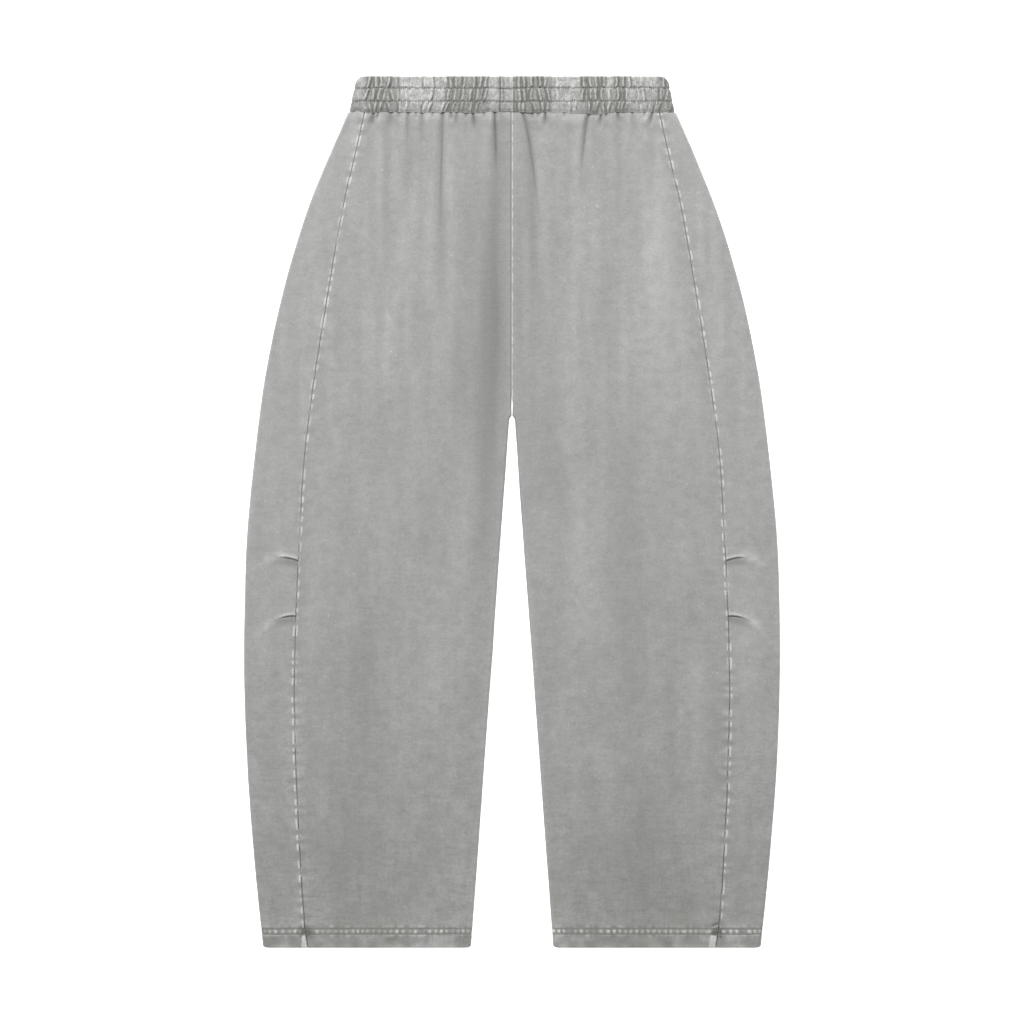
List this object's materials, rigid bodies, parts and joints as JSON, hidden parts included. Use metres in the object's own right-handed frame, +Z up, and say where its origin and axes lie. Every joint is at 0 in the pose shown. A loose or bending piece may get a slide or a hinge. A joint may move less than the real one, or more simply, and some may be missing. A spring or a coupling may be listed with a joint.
{
  "type": "sweatpants",
  "caption": "Barrel-leg pull-on sweatpants laid out flat, with a gathered elastic waistband, curved side panels with knee tucks, and turned-up hems.",
  "frame": {"origin": "on the surface that the garment lies on, under the centre of its outline", "axes": "+Z up out of the garment's front, +Y towards the waistband, +X towards the wearer's left leg"},
  "size_m": [0.6154, 1, 0.0101],
  "materials": {
    "waistband": "pale grey washed fleece, gathered over elastic",
    "front_panel": "pale grey washed fleece",
    "side_panel": "pale grey washed fleece",
    "back_panel": "pale grey washed fleece"
  },
  "bodies": {
    "root": {"waistband_right": "waistband", "waistband_left": "waistband", "front_right": "front_panel", "front_left": "front_panel", "side_right": "side_panel", "side_left": "side_panel", "back_right": "back_panel", "back_left": "back_panel"}
  },
  "joints": []
}
